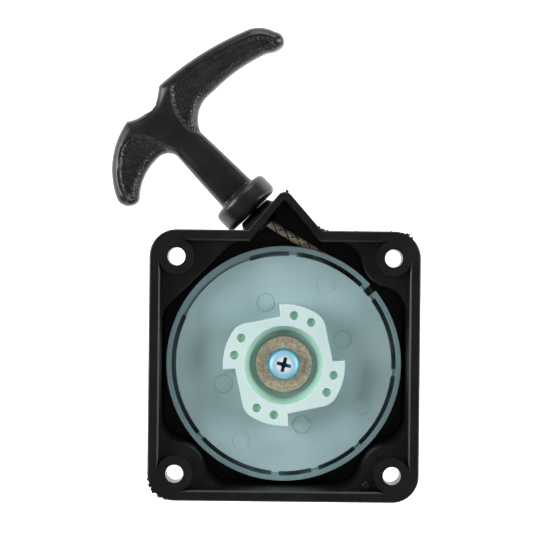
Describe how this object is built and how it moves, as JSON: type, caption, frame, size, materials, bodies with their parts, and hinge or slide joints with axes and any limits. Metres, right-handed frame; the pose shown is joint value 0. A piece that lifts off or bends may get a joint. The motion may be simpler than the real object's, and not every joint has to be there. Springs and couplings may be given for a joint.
{
  "type": "recoil starter",
  "caption": "Square moulded rope starter for a small engine: closed cover, sprung rope reel with a lobed ratchet hub, and a T-shaped pull grip.",
  "frame": {"origin": "centre of the four bolt holes on the engine mating face, on the reel's axis", "axes": "+Z towards the engine, +Y towards the rope outlet, +X to the right seen from the engine"},
  "size_m": [0.0985, 0.1506, 0.0308],
  "materials": {
    "cover_nylon": "matte",
    "grip_plastic": "satin",
    "reel_nylon": "satin",
    "blue_zinc": "satin",
    "yellow_zinc": "satin",
    "spring_steel": "oiled",
    "brass": "machined",
    "braided_rope": "braided"
  },
  "bodies": {
    "cover": {"starter_housing": "cover_nylon", "rope_guide": "grip_plastic", "centre_insert": "brass", "centre_screw": "blue_zinc", "reel_washer": "yellow_zinc", "spring_case": "spring_steel", "spring_cover": "spring_steel", "recoil_spring": "spring_steel", "rope_lead": "braided_rope"},
    "reel": {"starter_reel": "reel_nylon", "rope_coil": "braided_rope", "reel_knot": "braided_rope"},
    "rope_end": {"rope_tail": "braided_rope", "grip_knot": "braided_rope", "knot_washer": "spring_steel"},
    "grip": {"pull_grip": "grip_plastic"}
  },
  "joints": [
    {"name": "reel_spin", "type": "hinge", "parent": "cover", "child": "reel", "pos_m": [0, 0, 0], "axis": [0, 0, 1], "range_deg": [0, 1500], "stiffness_Nm_per_rad": 0.008, "springref_deg": -687.55, "deforming": ["recoil_spring", "rope_coil"]},
    {"name": "handle_pull", "type": "slide", "parent": "cover", "child": "rope_end", "axis": [-0.7025, 0.7117, 0], "range_m": [0, 0.8]},
    {"name": "grip_turn", "type": "hinge", "parent": "rope_end", "child": "grip", "pos_m": [-0.01015, 0.04895, -0.0173], "axis": [-0.7025, 0.7117, 0], "continuous": true}
  ],
  "couplings": [
    {"joint": "handle_pull", "follows": "reel_spin", "m_per_rad": 0.0305}
  ]
}
